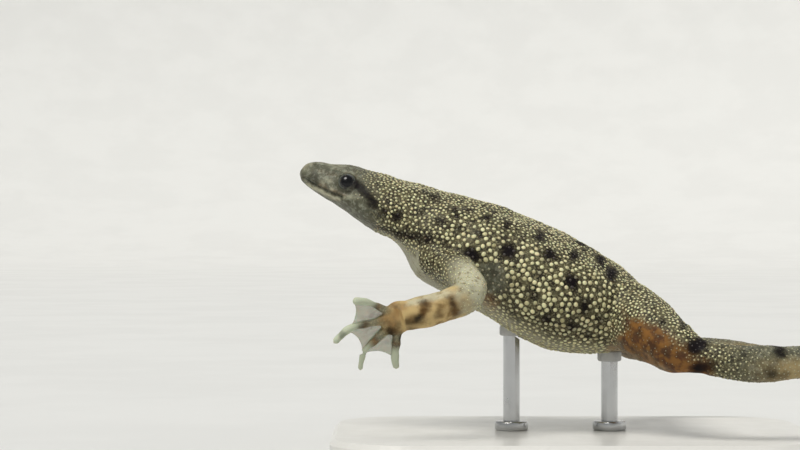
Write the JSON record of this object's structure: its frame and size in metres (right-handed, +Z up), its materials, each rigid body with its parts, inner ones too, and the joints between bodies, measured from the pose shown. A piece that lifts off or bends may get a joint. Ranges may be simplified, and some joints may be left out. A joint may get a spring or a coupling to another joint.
{
  "type": "african dwarf clawed frog model",
  "caption": "Life-size still model of a small aquatic frog gliding with spread webbed hands and trailing webbed feet, held up by rods on a flat base.",
  "frame": {"origin": "centre of the underside of the stand's base", "axes": "+Z up; -X the way the frog faces; -Y the frog's left side, which the picture shows"},
  "size_m": [0.0699, 0.0394, 0.0287],
  "materials": {
    "skin": "damp olive grey skin covered in cream granules, with dark blotches",
    "limb_skin": "damp pinkish tan skin with dark bands and a fine pale stipple",
    "webbed_skin": "thin, damp, partly see-through web between pale digits",
    "eye": "wet black eye with a thin pale ring",
    "claw": "smooth black horn",
    "stand_base": "plain satin white",
    "stand_rod": "plain brushed steel"
  },
  "bodies": {
    "root": {"head": "skin", "torso": "skin", "eye_left": "eye", "eye_right": "eye", "upper_arm_left": "limb_skin", "upper_arm_right": "limb_skin", "forearm_left": "limb_skin", "forearm_right": "limb_skin", "hand_left": "webbed_skin", "hand_right": "webbed_skin", "thigh_left": "limb_skin", "thigh_right": "limb_skin", "shank_left": "limb_skin", "shank_right": "limb_skin", "foot_left": "webbed_skin", "foot_right": "webbed_skin", "claw_left_1": "claw", "claw_left_2": "claw", "claw_left_3": "claw", "claw_right_1": "claw", "claw_right_2": "claw", "claw_right_3": "claw", "stand_base": "stand_base", "stand_rod_front": "stand_rod", "stand_rod_rear": "stand_rod"}
  },
  "joints": []
}
